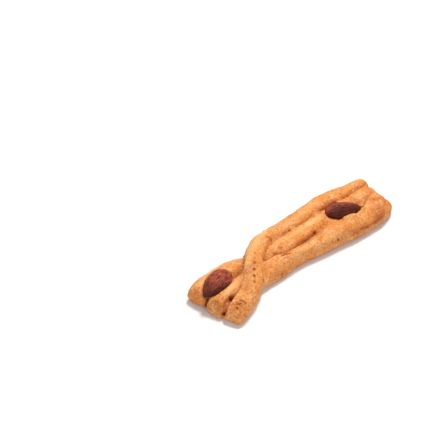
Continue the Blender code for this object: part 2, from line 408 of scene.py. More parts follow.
# %% Almond tree
ALMOND_SIZES = {
    "Length": 20.6 * MM,
    "Width": 12.1 * MM,
    "Thickness": 7.8 * MM,
    "Bluntness": 0.50,
    "Taper": 0.82,
    "Furrows": 2.6,
    "Furrow Run": 3.2,
    "Furrow Depth": 0.14 * MM,
    "Dent Depth": 0.35 * MM,
    "Draw": 0.0,
    "Rings": 170,
    "Sides": 180,
}
# the noise's scale, detail and roughness, then a furrow's half width on that noise, and its depth
MAIN_FURROWS = (1.0, 3.0, 0.55, 0.085, 1.0)
FINE_FURROWS = (2.3, 2.0, 0.50, 0.100, 0.45)
DENT_SCALE = 0.35
SMOOTH_END = (0.06, 0.34)  # the radius where furrows start, and where they are full, as shares of the width


def almond_tree():
    """Geometry tree of an almond along X, blunt end first, with the attributes grain, furrow and share."""
    tree, size = new_geometry_tree("almond", ALMOND_SIZES)
    inputs = {"Segments": size["Sides"], "Rings": size["Rings"], "Radius": 1.0}
    ball = add(tree, "GeometryNodeMeshUVSphere", inputs).outputs[0]
    place = parts(tree, given(tree, "Position"))
    share = maths(tree, "MULTIPLY_ADD", place["Z"], 0.5, 0.5)
    around = parts(tree, vector_maths(tree, "NORMALIZE", vector(tree, place["X"], place["Y"], 0.0)))

    def drop(share):
        """How thick a drop is at a share of its length, before it is scaled."""
        to_tip = maths(tree, "POWER", minus(tree, 1.0, share), size["Taper"])
        return times(tree, maths(tree, "POWER", share, size["Bluntness"]), to_tip)

    fattest = maths(tree, "DIVIDE", size["Bluntness"], maths(tree, "ADD", size["Bluntness"], size["Taper"]))
    radius = maths(tree, "DIVIDE", drop(share), times(tree, drop(fattest), 2.0))

    # noise on the unit circle, drawn out along the almond and wandering a little
    along = maths(tree, "MULTIPLY_ADD", share, size["Furrow Run"], size["Draw"])
    sideways = [times(tree, around[axis], size["Furrows"]) for axis in "XY"]
    grain = vector(tree, *sideways, along)

    def furrows(scale, detail, roughness, half_width, depth):
        """Grooves where the noise passes its middle value."""
        off_middle = maths(tree, "ABSOLUTE", minus(tree, texture(tree, grain, scale, detail, roughness), 0.5))
        return remap(tree, off_middle, 0.0, half_width, depth, 0.0)

    furrow = maths(tree, "MAXIMUM", furrows(*MAIN_FURROWS), furrows(*FINE_FURROWS))
    dent = minus(tree, texture(tree, grain, DENT_SCALE, 1.0), 0.5)
    ends = remap(tree, radius, *SMOOTH_END)
    depth = times(tree, furrow, size["Furrow Depth"], ends)
    depth = maths(tree, "MULTIPLY_ADD", times(tree, dent, ends), size["Dent Depth"], depth)
    out = [
        times(tree, around[axis], minus(tree, times(tree, radius, size[width]), depth))
        for axis, width in (("X", "Width"), ("Y", "Thickness"))
    ]
    spot = vector(tree, times(tree, minus(tree, share, 0.5), size["Length"]), *out)
    shape = keep(tree, ball, "grain", grain, "FLOAT_VECTOR")
    shape = keep(tree, keep(tree, shape, "furrow", furrow), "share", share)
    return close_tree(tree, moved(tree, shape, Position=spot), almond_skin)

# %% Two almonds
# millimetres and degrees, as in the imported model; `draw` picks the furrows. The value after `taper` darkens
# the whole skin, partly as its own roast and partly as painted shade, and the last value says how far to the
# picture's right lies the side that is painted in shade
ALMONDS = {
    "almond_near": dict(
        centre=(-51.972, 6.586, 8.8), length=20.6, width=12.1, thickness=7.8,
        turn=192.0, dip=0.0, roll=7.0, draw=3.0, taper=0.82, roast_and_painted_shade=0.05, browning_and_painted_shade=-0.30,
    ),
    "almond_far": dict(
        centre=(30.70, -2.84, 9.5), length=21.8, width=10.8, thickness=7.8,
        turn=-21.0, dip=11.0, roll=4.0, draw=8.0, taper=0.70, roast_and_painted_shade=0.32, browning_and_painted_shade=0.90,
    ),
}
RIM_PAINTED_SHADE = 0.18  # painted shade added where the skin faces sideways
RIM_FACING = 0.9  # how far up the skin faces where the rim begins
SIDE_PAINTED_SHADE, MOST_SIDE_PAINTED_SHADE = 1.8, 0.9  # painted shade added on the shaded side, and the most of it

tree = almond_tree()


def make_almond(node, centre, length, width, thickness, turn, dip, roll, draw, taper, roast_and_painted_shade, browning_and_painted_shade):
    """An almond in the place of a CAD node, with its own furrows."""
    piece = new_piece(node.replace("almond", "nut"))
    grow(piece, tree, length=length * MM, width=width * MM, thickness=thickness * MM, draw=draw, taper=taper)
    place = Matrix.Translation(Vector(centre) * MM) @ Matrix.Rotation(math.radians(turn), 4, "Z")
    tilt = Matrix.Rotation(math.radians(dip), 4, "Y") @ Matrix.Rotation(math.radians(roll), 4, "X")
    piece.data.transform(place @ tilt)
    # painted shade: the skin is darkened round its rim and on the side turned from the light
    facing = read(piece.data, "normal")
    rim = np.clip(1 - facing[:, 2] / RIM_FACING, 0, 1)
    painted_shade_side = np.array((browning_and_painted_shade * right - forward).normalized())
    side = np.clip(SIDE_PAINTED_SHADE * (facing @ painted_shade_side), 0, MOST_SIDE_PAINTED_SHADE)
    store(piece.data, "roast_and_painted_shade", roast_and_painted_shade + RIM_PAINTED_SHADE * rim + side)
    low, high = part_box(node)
    own = read(piece.data, "co")
    print(node, "off by, mm:", np.round((own.min(0) - low) / MM, 2), np.round((own.max(0) - high) / MM, 2))
    return piece


nuts = {node: make_almond(node, **place) for node, place in ALMONDS.items()}

# %% [markdown]
# ## Folds, swellings and cut ends
#
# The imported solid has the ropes. The picture shows how they lie against each other: where one dives
# under the next there is a deep fold, where one is squeezed it swells, and at the near end two ropes
# were cut through with a blade. Each of these is named by its points in the picture. A line of sight
# finds them on the dough, and the dough round them is moved along the surface's own normal. A few of
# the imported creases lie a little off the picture's, so those are first pushed aside and softened, and
# the dough settles once more where folds meet.

# %% Tools for marks
LINE_SPACING = 0.4  # pixels between the points by which a line of the picture is followed
LINE_STEP = 0.2 * MM  # between the points of the line once it lies on the dough
LINE_WINDOW = 9  # such points to each side over which the line is evened out
WEDGE_POWER = 1.6  # the higher, the narrower a wedge is at its bottom
CORE_GAIN = 2  # a core is full where the mask round its line comes to 1 over this


def fade(distance, reach):
    """1 at no distance, falling smoothly to 0 at `reach`."""
    return np.clip(1 - (distance / reach) ** 2, 0, 1) ** 2


def wedge(distance, reach):
    """1 at no distance, with a sharp bottom, falling to 0 at `reach`."""
    return np.clip(1 - distance / reach, 0, 1) ** WEDGE_POWER


def on_dough(across, down):
    """Where the picture's point lies on the dough, and the way the dough faces there.

    A line of sight that just passes the edge takes the nearest dough to where it meets the tray."""
    sight = line_of_sight(across, down)
    spot, normal, _, _ = dough_search.ray_cast(eye, sight)
    if spot is None:
        spot, normal, _, _ = dough_search.find_nearest(eye - sight * (eye.z / sight.z))
    return spot, normal


def along_line(points):
    """Points at small steps along a line of picture points."""
    filled = []
    for (x0, y0), (x1, y1) in zip(points, points[1:]):
        steps = max(1, int(math.hypot(x1 - x0, y1 - y0) / LINE_SPACING))
        filled += [(x0 + (x1 - x0) * k / steps, y0 + (y1 - y0) * k / steps) for k in range(steps + 1)]
    return filled


def evened(spots):
    """A line through space at even steps, without the jumps that a line of sight makes from wall to wall."""
    steps = np.linalg.norm(np.diff(spots, axis=0), axis=1)
    travelled = np.concatenate(([0], np.cumsum(steps)))
    even = np.linspace(0, travelled[-1], max(2, int(travelled[-1] / LINE_STEP)))
    line = np.stack([np.interp(even, travelled, column) for column in spots.T], 1)
    padded = np.pad(line, ((LINE_WINDOW, LINE_WINDOW), (0, 0)), "reflect", reflect_type="odd")
    window = np.ones(2 * LINE_WINDOW + 1) / (2 * LINE_WINDOW + 1)
    return np.stack([np.convolve(column, window, "valid") for column in padded.T], 1)


def beside(places, points, reach):
    """For each point of the dough: how far it is from a line, how far along it, and if it is to its right."""
    spots = np.array([on_dough(*point)[0] for point in (along_line(points) if len(points) > 1 else points)])
    if len(spots) > 2 * LINE_WINDOW:
        spots = evened(spots)
    low, high = spots.min(0) - reach, spots.max(0) + reach
    close = np.flatnonzero(((places > low) & (places < high)).all(1))
    gaps = np.linalg.norm(places[close, None] - spots[None], axis=2)
    nearest = gaps.argmin(1)
    away, on_right = np.full(len(places), np.inf), np.zeros(len(places), bool)
    away[close] = gaps[np.arange(len(close)), nearest]
    along = np.zeros(len(places))
    along[close] = nearest / len(spots)
    if len(spots) > 1:
        leftward = np.cross(backward, np.gradient(spots, axis=0))
        on_right[close] = np.einsum("ij,ij->i", places[close] - spots[nearest], leftward[nearest]) < 0
    return away, along, on_right


def mask_round(places, points, reach):
    """How close each point of the dough is to a line or a point of the picture: 1 on it, 0 at the reach."""
    return fade(np.minimum(beside(places, points, reach)[0], reach), reach)


def core_of(places, lines):
    """1 near any of several lines, falling to 0 at each line's own reach, which is in mm."""
    masks = [mask_round(places, points, reach * MM) for points, reach in lines]
    return np.clip(CORE_GAIN * np.max(masks, axis=0), 0, 1)

# %% Old creases pushed aside and softened
SHOVES = (  # points of a line across the picture, how far from it dough moves in mm, and which way in pixels
    (((286, 250.5), (295, 245.3), (305, 238.8), (312, 234.3)), 6.5, (0.3, 3.7)),
    (((299, 222.5), (308, 216.5)), 4, (0, 1.6)),
    (((320, 209.5), (326, 205.5), (333, 200.5), (342, 195.5), (348, 192.5)), 4, (0, 2.6)),
)
SOFTENED = (  # points of a line across the picture, and how far round it the dough is evened out, in mm
    (((273, 238), (289, 231), (306, 220.5), (324, 209.5), (334, 202)), 2.6),
    (((334, 202), (345, 196.5), (356, 189.5), (364, 184.5)), 2.8),
    (((268, 258), (279, 256), (290, 252), (305, 242.3), (315, 235), (331, 222)), 2.8),
    (((364, 203), (369, 197.5), (375, 192.5)), 2.2),
    (((224.5, 313), (228, 307), (232, 301)), 2.4),
)
SOFT_ROUNDS = 30
PIXEL = CAMERA_AWAY * CAMERA_SENSOR / CAMERA_LENS / PICTURE  # the width of a pixel at the biscuit

dough_search = tree_of(dough)
places, edges = read(dough.data, "co"), edges_of(dough.data)
for points, reach, (across, down) in SHOVES:
    shove = np.array(right * across - forward * (down / math.sin(CAMERA_RISE))) * PIXEL
    places += mask_round(places, points, reach * MM)[:, None] * shove
move_to(dough.data, places)
dough_search = tree_of(dough)
places = smoothed(places, edges, SOFT_ROUNDS, core_of(places, SOFTENED))
move_to(dough.data, places)
print(len(SHOVES), "creases pushed aside,", len(SOFTENED), "softened")

# %% Swellings
SWELLINGS = (  # points of a line across the picture, half width and height in mm; below 0 it is pressed in
    (((269, 249.5), (275, 243.5), (282, 238)), 2.4, 0.5),
    (((221, 303), (228, 293), (236, 281)), 3.4, 0.8),
    (((345.5, 219), (350, 217), (355, 215.5)), 1.6, 1.1),
    (((320.5, 215), (323, 219.5), (327.5, 223)), 3.3, 1.35),
    (((323.5, 226.5), (328.5, 223.3), (334, 221.6)), 2.2, 0.8),
    (((358, 213), (363, 208.5)), 1.6, -0.8),
)
SWELLING_REACH = 1.2  # how far a swelling reaches, as a multiple of its half width
SMOOTHED_NORMALS = 12  # rounds


def rounded_normals(mesh):
    """The way the dough faces at each point, evened out over about a millimetre."""
    normals = read(mesh, "normal")
    for _ in range(SMOOTHED_NORMALS):
        normals = averaged(normals, edges)
    return normals / np.linalg.norm(normals, axis=1)[:, None]


dough_search = tree_of(dough)
places, normals = read(dough.data, "co"), rounded_normals(dough.data)
for points, half_width, height in SWELLINGS:
    mask = mask_round(places, points, SWELLING_REACH * half_width * MM)
    places += normals * (mask * height * MM)[:, None]
move_to(dough.data, places)
print(len(SWELLINGS), "swellings")

# %% Folds
# points of a line that has the upper rope on its left, and how far the upper rope rolls down to it; then, at
# the line's start and end, how deep it rolls down and how high the lower rope's edge stands up, all in mm
FOLDS = (
    (((265.5, 261), (275, 255.3), (285, 253.6), (295, 248.6)), 4.4, (1.3, 1.8), (0.6, 0.9)),
    (((295, 248.6), (305, 241.6), (312, 236.6), (315.5, 234)), 4.6, (1.8, 1.9), (0.9, 0.25)),
    (((315.5, 234), (319.5, 231), (323.6, 228)), 2.6, (1.6, 0.2), (0.25, 0)),
    (((267, 251.5), (269.5, 245.8), (275, 240.2), (285, 234), (290.4, 231.4)), 3.2, (0.8, 0.7), (0.4, 0.8)),
    (((290.4, 231.4), (297, 228.2), (305, 222), (312, 216.8), (320.2, 211.4)), 4.2, (0.5, 1.3), (0.8, 1.1)),
    (((320.2, 211.8), (325, 208.8), (330, 206.4), (336, 203.8)), 4.4, (1.9, 2.2), (0, 0)),
    (((335, 204.2), (342.2, 200.8), (350, 196.4)), 4.2, (2.1, 1.3), (0.8, 1)),
    (((350, 196.4), (354.4, 192.6), (360, 188.2), (364.6, 185.6)), 3.8, (1.3, 0.7), (1, 0.7)),
    (((348, 203.4), (352, 204.2), (357, 205.4), (361.5, 207)), 4.4, (0.2, 1.5), (0, 0)),
    (((363.2, 204.8), (364.6, 201.8), (367.8, 197.6), (371, 194.6), (373.6, 193)), 2, (1.1, 0.4), (0.4, 0.1)),
    (((264, 285), (263.8, 273), (264, 263), (265, 255), (267, 248)), 0.9, (0.5, 0.5), (0, 0)),
    (((231.5, 281.5), (237, 276.8), (242.4, 272.6), (243.8, 266)), 5, (2.8, 2.8), (0.4, 0.5)),
    (((243.8, 267), (244.2, 258)), 2.4, (1, 0.2), (0, 0)),
    (((223.9, 316.2), (226.2, 310.5), (229.5, 304.8), (233, 299.7)), 4, (2.2, 2.2), (0.6, 0.5)),
    (((233, 299.7), (236.4, 294), (240.2, 287), (242.7, 279)), 3.2, (1.6, 0.5), (0.5, 0.1)),
    (((206, 311), (206.6, 304), (208.6, 298)), 3.2, (2.3, 1.6), (0.5, 0.3)),
)
SETTLED = (  # points of a line across the picture, and how far round it the folded dough is evened out, in mm
    (((318.5, 211.5), (323.5, 217.5), (327, 223.5), (332, 221.5)), 3.2),
    (((339, 201.5), (346, 197.5)), 1.8),
    (((313, 244), (317.5, 240.5), (321.5, 239.5)), 3.6),
)
EDGE_REACH = 2.6 * MM  # of the edge that stands up
INNER_WALL = 0.8 * MM  # over which the lower rope's edge drops into the fold
FULL_FOLD = 2  # mm of depth at which a fold's crust counts as folded in full
FOLD_SMOOTHING = 3  # rounds of evening out the folded dough
FOLDED_GAIN = 3  # it is evened out in full where it is folded by 1 over this
SETTLE_ROUNDS = 40


def between(ends, share):
    """The value at a share of the way from the first end to the last."""
    return ends[0] + (ends[1] - ends[0]) * share


dough_search = tree_of(dough)
places, normals = read(dough.data, "co"), rounded_normals(dough.data)
folded, rolled, sunk, raised = (np.zeros(len(places)) for _ in range(4))
for points, reach, depths, edge_heights in FOLDS:
    reach *= MM
    away, along, on_right = beside(places, points, max(reach, EDGE_REACH))
    roll = wedge(np.minimum(np.where(on_right, away * reach / INNER_WALL, away), reach), reach)
    depth = between(depths, along)
    edge = np.where(on_right, fade(np.minimum(away, EDGE_REACH), EDGE_REACH), 0)
    edge *= between(edge_heights, along)
    rolled, raised = np.maximum(rolled, roll), np.maximum(raised, edge * MM)
    sunk = np.maximum(sunk, roll * depth * MM)
    folded = np.maximum(folded, roll * np.minimum(1, depth / FULL_FOLD))
places += normals * (raised * (1 - rolled) - sunk)[:, None]
places = smoothed(places, edges, FOLD_SMOOTHING, np.clip(FOLDED_GAIN * folded, 0, 1))
places = smoothed(places, edges, SETTLE_ROUNDS, core_of(places, SETTLED))
lay_on_tray(dough.data, places)
store(dough.data, "folded", folded)
print(len(FOLDS), "folds")

# %% Cut ends
CUT_ENDS = (  # three picture points that a blade went through, and how far round them it cut, in mm
    (((208.5, 303.5), (222, 310), (214.5, 315)), 7.5),
    (((229, 305.5), (246, 308), (238, 322.5)), 9),
)


def cut_face(places, three, reach):
    """Takes the dough outside a blade's plane back to it; returns how much each point is on the cut."""
    first, second, third = (np.array(on_dough(*point)[0]) for point in three)
    outward = np.cross(second - first, third - first)
    outward *= -np.sign(outward[0]) / np.linalg.norm(outward)
    middle = (first + second + third) / 3
    beyond = np.clip((places - middle) @ outward, 0, None)
    near = np.clip(2 - 2 * np.linalg.norm(places - middle, axis=1) / (reach * MM), 0, 1)
    places -= outward * (beyond * near)[:, None]
    return near * (beyond > 0)


dough_search = tree_of(dough)
places = read(dough.data, "co")
crumbly = np.zeros(len(places))
for three, reach in CUT_ENDS:
    face = cut_face(places, three, reach)
    crumbly = np.maximum(crumbly, face)
    print("cut face:", int((face > 0.5).sum()), "points")
lay_on_tray(dough.data, places)

# %% Torn patches, and patches of browning with painted light and shade
TORN = (  # points of a line across the picture, and the half width in mm of the rough crust round it
    (((359, 229), (368, 226), (377, 221)), 3),
    (((346, 239), (352, 236.5)), 1.8),
    (((279, 277), (286, 274)), 1.6),
    (((188, 300), (197, 306)), 2.2),
)
# pale patches are painted light on lit crests and edges; brown ones are partly painted shade in grooves and
# partly the crust's own browning
BROWNING_AND_PAINTED_LIGHT = (  # the same, then how brown, up to 1, or below 0 how pale
    (((377, 199), (381, 207), (379, 215)), 6.5, 0.76),
    (((345, 231), (360, 223.5)), 4, 0.45),
    (((252, 264), (250, 275), (247, 288)), 4, 0.40),
    (((271, 276), (282, 270)), 4.5, 0.35),
    (((205, 298), (208, 308)), 2.5, 0.50),
    (((237, 270), (242, 266)), 3, 0.50),
    (((246.5, 262), (249, 250), (255, 240), (263, 231.5)), 4, -0.60),
    (((199, 284), (206, 275.5), (216, 267)), 3, -0.50),
    (((265, 230.5), (282, 218), (300, 205.5), (318, 193.5)), 2.5, -0.50),
    (((200, 268), (212, 264), (224, 260)), 3, -0.50),
    (((210, 313), (216, 316)), 2.5, -0.40),
    (((251.5, 315), (257.5, 304), (262.5, 292)), 3, -1.00),
    (((226, 309.5), (230, 303)), 3, 0.25),
    (((243.8, 261), (243.6, 272)), 2.2, 0.30),
    (((254, 300), (257, 291)), 3, 0.30),
    (((190, 300), (200, 307)), 4, 0.20),
    (((227, 292), (236, 283)), 2.5, -0.70),
    (((283, 240), (297, 231), (309, 223)), 2.6, -0.60),
    (((309, 223), (318, 217.5)), 3.2, -0.80),
    (((297, 253), (307, 246.5), (314, 242)), 2.4, -0.70),
    (((286, 225), (300, 213.5), (318, 200.5)), 2.6, -0.35),
    (((238, 318), (247, 308)), 3.6, 0.28),
    (((369, 187.5), (380, 192), (386, 201)), 5, 0.42),
    (((330, 246), (345, 238), (357, 231.5)), 3, 0.10),
    (((353, 199.5), (360, 201.5)), 3.5, 0.45),
    (((266, 262), (272, 256)), 2.5, -0.50),
    (((282.5, 254.6), (289, 253.4)), 1.3, 0.90),
    (((338.2, 240),), 1.3, 0.90),
    (((282.4, 274.6),), 1.5, 0.80),
    (((355, 233.5), (370, 226.5), (384, 214.5)), 3, 0.35),
)
TORN_ROUGHNESS = 0.8  # of torn crust, where a cut face has 1

dough_search = tree_of(dough)
# painted light and shade: pale where light falls, brown where shade falls or where the crust browned
browning_and_painted_light = np.zeros(len(places))
for points, half_width, strength in BROWNING_AND_PAINTED_LIGHT:
    browning_and_painted_light += strength * mask_round(places, points, half_width * MM)
store(dough.data, "browning_and_painted_light", browning_and_painted_light)
for points, half_width in TORN:
    crumbly = np.maximum(crumbly, TORN_ROUGHNESS * mask_round(places, points, half_width * MM))
store(dough.data, "crumbly", crumbly)

# %% [markdown]
# ## The dough's skin
#
# Baked dough is never smooth. It swells unevenly, its skin is finely grained, and small pores open in
# it. All of that follows the surface, so one geometry tree lifts and sinks the points along their
# normals by three layers of noise, with crumbs where the crust is torn or cut, and a few pores. Where
# the dough lies on the tray or holds an almond it is left alone, by the attribute `free`.

# %% Relief tree
RELIEF_SIZES = {
    "Swell Height": 0.42 * MM,
    "Swell Size": 8.5 * MM,
    "Lump Height": 0.26 * MM,
    "Lump Size": 3.0 * MM,
    "Grain Height": 0.13 * MM,
    "Grain Size": 0.95 * MM,
    "Crumb Height": 0.34 * MM,
    "Crumb Size": 1.1 * MM,
    "Pore Depth": 0.22 * MM,
    "Pore Spacing": 2.6 * MM,
    "Pore Share": 0.30,
}
PORE_WALL = (0.06, 0.20)  # from where a pore is deepest to its rim, as shares of the spacing
LAYER_GAIN, CRUMB_GAIN = 2.0, 3.0  # what noise round its middle is multiplied by to reach the height


def relief_tree():
    """Geometry tree that gives a dough surface its relief."""
    tree, size = new_geometry_tree("relief", RELIEF_SIZES)
    place = given(tree, "Position")

    def layer(name, detail, roughness=0.5, gain=LAYER_GAIN):
        """One layer of noise, which lifts and sinks the dough by about its height."""
        value = minus(tree, noise(tree, place, size[name + " Size"], detail, roughness), 0.5)
        return times(tree, value, times(tree, size[name + " Height"], gain))

    height = layer("Swell", 1.0)
    for name, detail in (("Lump", 2.0), ("Grain", 3.0)):
        height = maths(tree, "ADD", height, layer(name, detail))
    crumbs = times(tree, layer("Crumb", 2.0, 0.7, CRUMB_GAIN), named(tree, "crumbly"))
    height = maths(tree, "ADD", height, crumbs)

    scale = maths(tree, "DIVIDE", 1.0, size["Pore Spacing"])
    cells = add(tree, "ShaderNodeTexVoronoi", {"Vector": place, "Scale": scale}, feature="F1").outputs
    chosen = maths(tree, "LESS_THAN", parts(tree, cells["Color"])["X"], size["Pore Share"])
    pore = times(tree, remap(tree, cells["Distance"], *PORE_WALL, 1.0, 0.0), chosen)
    height = minus(tree, height, times(tree, pore, size["Pore Depth"]))
    offset = scaled(tree, given(tree, "Normal"), times(tree, height, named(tree, "free")))
    return close_tree(tree, moved(tree, size["Geometry"], Offset=offset), crust)

# %% Relief on the dough
TRAY_FADE = 0.9 * MM  # relief grows from nothing over this height above the tray
SOCKET_FADE = 2.2 * MM  # and over this distance from an almond
SOCKET_WALL = 0.4 * MM  # the dough nearer than this to an almond is left alone
NEAR_ALMOND = 4.0 * MM
DEEPER_ROUNDS, DEEPER_GAIN = 12, 0.5  # rounds of smoothing that find a groove, and how much deeper it goes


def distance_to(mesh, piece, reach):
    """How far each point of a mesh is from a piece, 0 inside it, and the nearest place on it."""
    search = tree_of(piece)
    places = read(mesh, "co")
    low, high = read(piece.data, "co").min(0) - reach, read(piece.data, "co").max(0) + reach
    far, nearest = np.full(len(places), reach), places.copy()
    for k in np.flatnonzero(((places > low) & (places < high)).all(1)):
        spot, outward, _, gap = search.find_nearest(Vector(places[k]), reach)
        if spot is not None:
            outside = (Vector(places[k]) - spot).dot(outward) > 0
            far[k], nearest[k] = (gap, spot) if outside else (0, places[k])
    return far, nearest


gap = np.full(len(dough.data.vertices), NEAR_ALMOND)
for nut in nuts.values():
    gap = np.minimum(gap, distance_to(dough.data, nut, NEAR_ALMOND)[0])
heights = read(dough.data, "co")[:, 2]
free = np.clip(heights / TRAY_FADE, 0, 1) * np.clip((gap - SOCKET_WALL) / SOCKET_FADE, 0, 1)
store(dough.data, "free", free)

places, normals = read(dough.data, "co"), read(dough.data, "normal")
sunk = np.clip(hollowness(dough.data, DEEPER_ROUNDS, 1.0), 0, None) * DEEPER_GAIN * free
places -= normals * sunk[:, None]
print("creases deepened by up to, mm:", round(float(np.percentile(sunk, 99)) / MM, 2))
lay_on_tray(dough.data, places)
grow(dough, relief_tree())
print("relief on", int((free > 0.5).sum()), "points")

# %% [markdown]
# ## Pits, holes and cracks
#
# The picture shows marks that no rule places: a row of pits down the crossing rope, dark holes where
# two ropes part, a shallow crack along a crease. Each is named by its point in the picture, its width
# and its depth. The line of sight finds it on the dough, and the dough round it is pressed in along
# the surface's own normal. The same list says where the crust is painted darker, for the material: the
# cracks' own brown, and painted shade that grows with a mark's depth.

# %% Marks
PITS = (  # across and down the picture, then radius and depth in mm
    (255.3, 252.8, 0.55, 0.35),
    (255, 258, 0.35, 0.30),
    (254.7, 262.5, 0.80, 0.40),
    (258.6, 263.2, 0.40, 0.30),
    (254.2, 268.8, 0.70, 0.60),
    (254.4, 275.6, 0.60, 0.55),
    (254.7, 281.3, 0.65, 0.45),
    (280.3, 247.2, 1.30, 0.32),
    (275, 254.4, 1.10, 0.25),
    (315, 233.1, 0.80, 0.80),
    (290, 231, 0.75, 0.40),
    (232.3, 299.5, 1.15, 1.45),
    (237.3, 308.3, 0.45, 0.50),
    (224, 314.2, 0.70, 1.10),
    (362.2, 228.4, 0.70, 0.35),
    (366.8, 226.6, 0.60, 0.30),
    (372.2, 224.4, 0.50, 0.30),
    (376.2, 221.2, 0.60, 0.30),
    (357.6, 232.4, 0.50, 0.30),
    (338.2, 240, 0.70, 0.32),
    (282.4, 274.6, 0.70, 0.30),
)
CRACKS = (  # points of a line across the picture, then half width and depth in mm
    (((282.2, 255.4), (284, 254.5), (285.8, 254.6), (289.6, 253.4)), 0.40, 0.45),
    (((361, 229.6), (365, 227.2), (368.6, 226.8)), 0.50, 0.35),
    (((373.6, 223.8), (378, 220.4)), 0.50, 0.35),
    (((205.6, 309), (206.6, 303.5), (208.6, 299)), 0.60, 0.70),
    (((267, 236.5), (270, 237.5), (271.5, 240.5)), 0.80, 0.30),
    (((240, 300), (243, 300.6), (246, 303)), 0.55, 0.45),
    (((238, 304.5), (241, 303.5)), 0.45, 0.35),
)
MARK_REACH = 1.9  # how far a mark reaches, as a multiple of its radius or half width
DARK_SHARE = 1.6  # a mark this many times its depth, in mm, is fully dark when it comes to 1: painted shade grows with depth

dough_search = tree_of(dough)
places, normals = read(dough.data, "co"), read(dough.data, "normal")
# painted shade in the pits and holes, with the cracks' own brown
pit_colour_and_painted_shade = np.zeros(len(places))
for points, radius, depth in [*(([(across, down)], *size) for across, down, *size in PITS), *CRACKS]:
    mask = mask_round(places, points, MARK_REACH * radius * MM)
    places -= normals * (mask * depth * MM)[:, None]
    pit_colour_and_painted_shade = np.maximum(pit_colour_and_painted_shade, mask * min(1, DARK_SHARE * depth))
lay_on_tray(dough.data, places)
print(len(PITS), "pits and", len(CRACKS), "cracks")

# %% [markdown]
# ## The dough holds the almonds
#
# The CAD leaves a thin gap round each almond so that the solids never touch. Dough clings to what is
# pressed into it, so the last fraction of a millimetre is drawn in until it meets the almond's skin.

# %% Close the sockets
CLING = 0.75 * MM  # how near the dough has to be to be drawn in
CLING_FADE = 0.4 * MM  # over which the pull grows to its full strength
OVERLAP = 0.08 * MM
CONTACT_SHADE_REACH = 0.7 * MM  # painted contact shadow: the dough is darkened in the narrow line along the almond

contact_shade = np.zeros(len(dough.data.vertices))
for nut in nuts.values():
    far, nearest = distance_to(dough.data, nut, NEAR_ALMOND)
    contact_shade = np.maximum(contact_shade, fade(far, CONTACT_SHADE_REACH))
    places = read(dough.data, "co")
    pull = np.clip((CLING - far) / CLING_FADE, 0, 1)[:, None]
    inward = (nearest - places) / np.maximum(far, 1e-7)[:, None]
    move_to(dough.data, places + pull * inward * np.where(far > 0, far + OVERLAP, 0)[:, None])
store(dough.data, "contact_shade", contact_shade)
print("sockets closed")

# %% [markdown]
# ## What the crust's colour follows
#
# Creases, hollows and flanks that face sideways get painted shade: the crust is painted browner and
# darker there, where shade falls. How hollow a place is can be measured: smooth the surface a great deal,
# and see whether the smoothed surface lies above the real one. Two amounts of smoothing give the broad
# grooves and the fine creases.

# %% Hollow and crease attributes
GROOVES = {  # rounds of smoothing, and the depth that counts as 1
    "hollow": (90, 0.75 * MM),
    "crease": (10, 0.10 * MM),
}
FACING_ROUNDS = 6

for name, (rounds, full) in GROOVES.items():
    values = hollowness(dough.data, rounds, full)
    store(dough.data, name, values)
    print(name, "from", np.round(np.percentile(values, (2, 25, 50, 75, 98)), 2))
store(dough.data, "pit_colour_and_painted_shade", pit_colour_and_painted_shade)
# how far the crust faces up, which the crust uses for painted shade on its flanks
facing = read(dough.data, "normal")
for _ in range(FACING_ROUNDS):
    facing = averaged(facing, edges_of(dough.data))
store(dough.data, "upward", facing[:, 2])

# %% [markdown]
# ## Pepper and chopped almond
#
# Coarse pepper and almond crumbs are kneaded into the dough and show as specks all over it. Geometry
# Nodes scatter them: random points on the dough, joined by points for the specks that the picture
# shows, get a little rough lump each, turned at random and sunk into the crust.

# %% Scatter tree
SCATTER_SIZES = {
    "Smallest": 0.2 * MM,
    "Largest": 0.4 * MM,
    "Density": 2000.0,
    "Flatness": 0.7,
    "Sunk": 0.25,
    "Roughness": 0.25,
    "Lowest": 2.0 * MM,
    "Seed": 1,
}
OPEN_CRUST = 0.6  # the least value of `free` where a grain can lie
LEAST_UPWARD = -0.2  # and how far up the crust has to face there, from -1 to 1
MOSTLY_SMALL = 1.6  # the power that makes more grains small than large
STRETCH = (0.75, 1.3)
HALF_TURN = 3.14
DENT_SIZE = 0.45 * MM  # of the dents that make a grain rough
DENT_GAIN = 3.0  # what noise round its middle is multiplied by to reach the roughness


